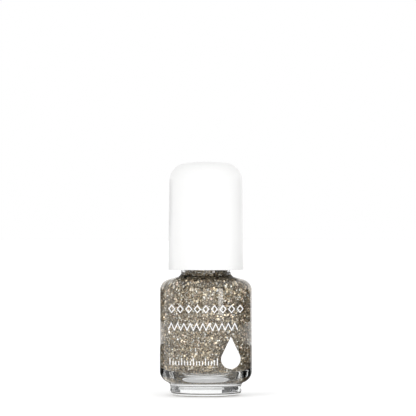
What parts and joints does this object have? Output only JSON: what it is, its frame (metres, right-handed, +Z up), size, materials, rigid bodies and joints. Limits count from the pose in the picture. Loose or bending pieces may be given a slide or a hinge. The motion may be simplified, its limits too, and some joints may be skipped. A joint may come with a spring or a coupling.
{
  "type": "nail polish bottle",
  "caption": "Small round clear-glass nail polish bottle on a stepped foot, filled with glitter lacquer, with a tall domed screw cap that carries the brush.",
  "frame": {"origin": "centre of the underside of the foot", "axes": "+Z up along the bottle's axis, towards the cap; the printed front faces -Y"},
  "size_m": [0.022, 0.022, 0.0558],
  "materials": {
    "clear_glass": "clear, polished",
    "white_ink": "satin",
    "glitter_lacquer": "champagne and silver glitter in clear lacquer",
    "ball_steel": "polished",
    "liner_foam": "matte",
    "cap_white": "smooth satin gloss",
    "inner_cap_plastic": "satin",
    "stem_plastic": "satin",
    "staple_brass": "bright",
    "bristle_nylon": "smooth filaments"
  },
  "bodies": {
    "bottle": {"bottle_glass": "clear_glass", "screen_print": "white_ink", "polish_fill": "glitter_lacquer", "mixing_ball_1": "ball_steel", "mixing_ball_2": "ball_steel"},
    "liner": {"sealing_liner": "liner_foam"},
    "closure": {"overcap": "cap_white", "inner_cap": "inner_cap_plastic", "brush_stem": "stem_plastic", "bristle_staple": "staple_brass", "bristle_bundle": "bristle_nylon"}
  },
  "joints": [
    {"name": "cap_rise", "type": "slide", "parent": "bottle", "child": "liner", "axis": [0, 0, 1], "range_m": [0, 0.0424]},
    {"name": "cap_turn", "type": "hinge", "parent": "liner", "child": "closure", "pos_m": [0, 0, 0.042], "axis": [0, 0, 1], "range_deg": [0, 7201]}
  ],
  "couplings": [
    {"joint": "cap_turn", "follows": "cap_rise", "rad_per_m": 2963.8}
  ]
}
